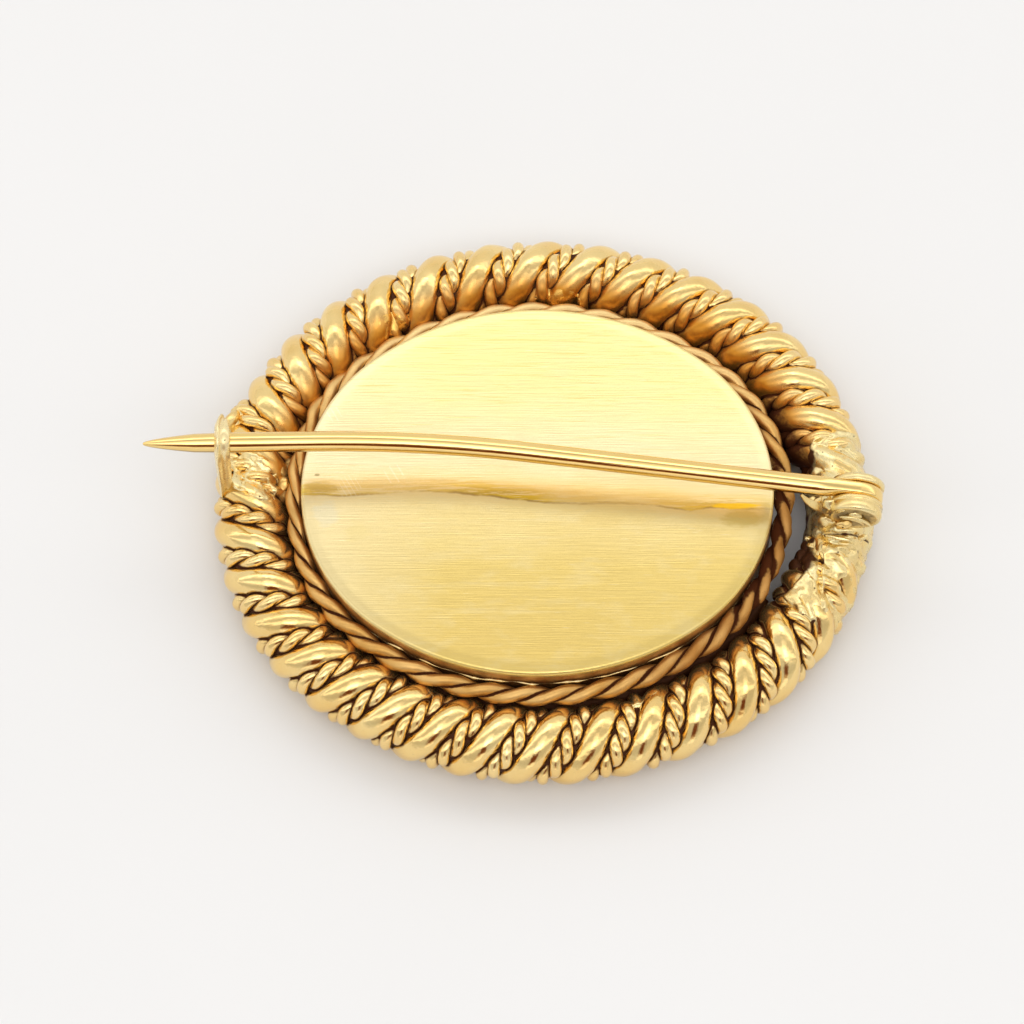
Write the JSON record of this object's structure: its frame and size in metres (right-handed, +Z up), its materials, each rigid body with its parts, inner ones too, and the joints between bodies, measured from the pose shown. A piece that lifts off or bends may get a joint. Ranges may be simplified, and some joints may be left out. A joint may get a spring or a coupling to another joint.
{
  "type": "garnet brooch",
  "caption": "Oval gold brooch: a closed box setting with a domed garnet, a twisted border, a thick rope frame, a hinged pin and a C-shaped catch.",
  "frame": {"origin": "on the surface that the brooch lies on, under the middle of its whole length and width", "axes": "+X along the brooch from the pin's tip towards the hinge, +Y across its width, +Z up out of its back"},
  "size_m": [0.042, 0.0332, 0.0101],
  "materials": {
    "pale_gold": "brushed sheet, polished at its rim",
    "gold": "drawn wire, polished on the crests and dark in the grooves",
    "dark_gold": "tarnished drawn wire",
    "solder_gold": "pitted solder, greyer than the wire",
    "pin_gold": "polished drawn wire with fine lengthwise lines",
    "garnet": "polished deep red cabochon"
  },
  "bodies": {
    "brooch": {"back_cup": "pale_gold", "garnet": "garnet", "border_wire_1": "dark_gold", "border_wire_2": "dark_gold", "plain_strand_1": "gold", "plain_strand_2": "gold", "twisted_strand_1": "gold", "twisted_strand_2": "gold", "hinge_lugs": "solder_gold", "hinge_rivet": "pale_gold", "catch": "solder_gold"},
    "pin": {"pin": "pin_gold"}
  },
  "joints": [
    {"name": "pin_hinge", "type": "hinge", "parent": "brooch", "child": "pin", "pos_m": [0.01945, -0.00097, 0.00663], "axis": [0.1097, 0.994, 0], "range_deg": [0, 120]}
  ]
}
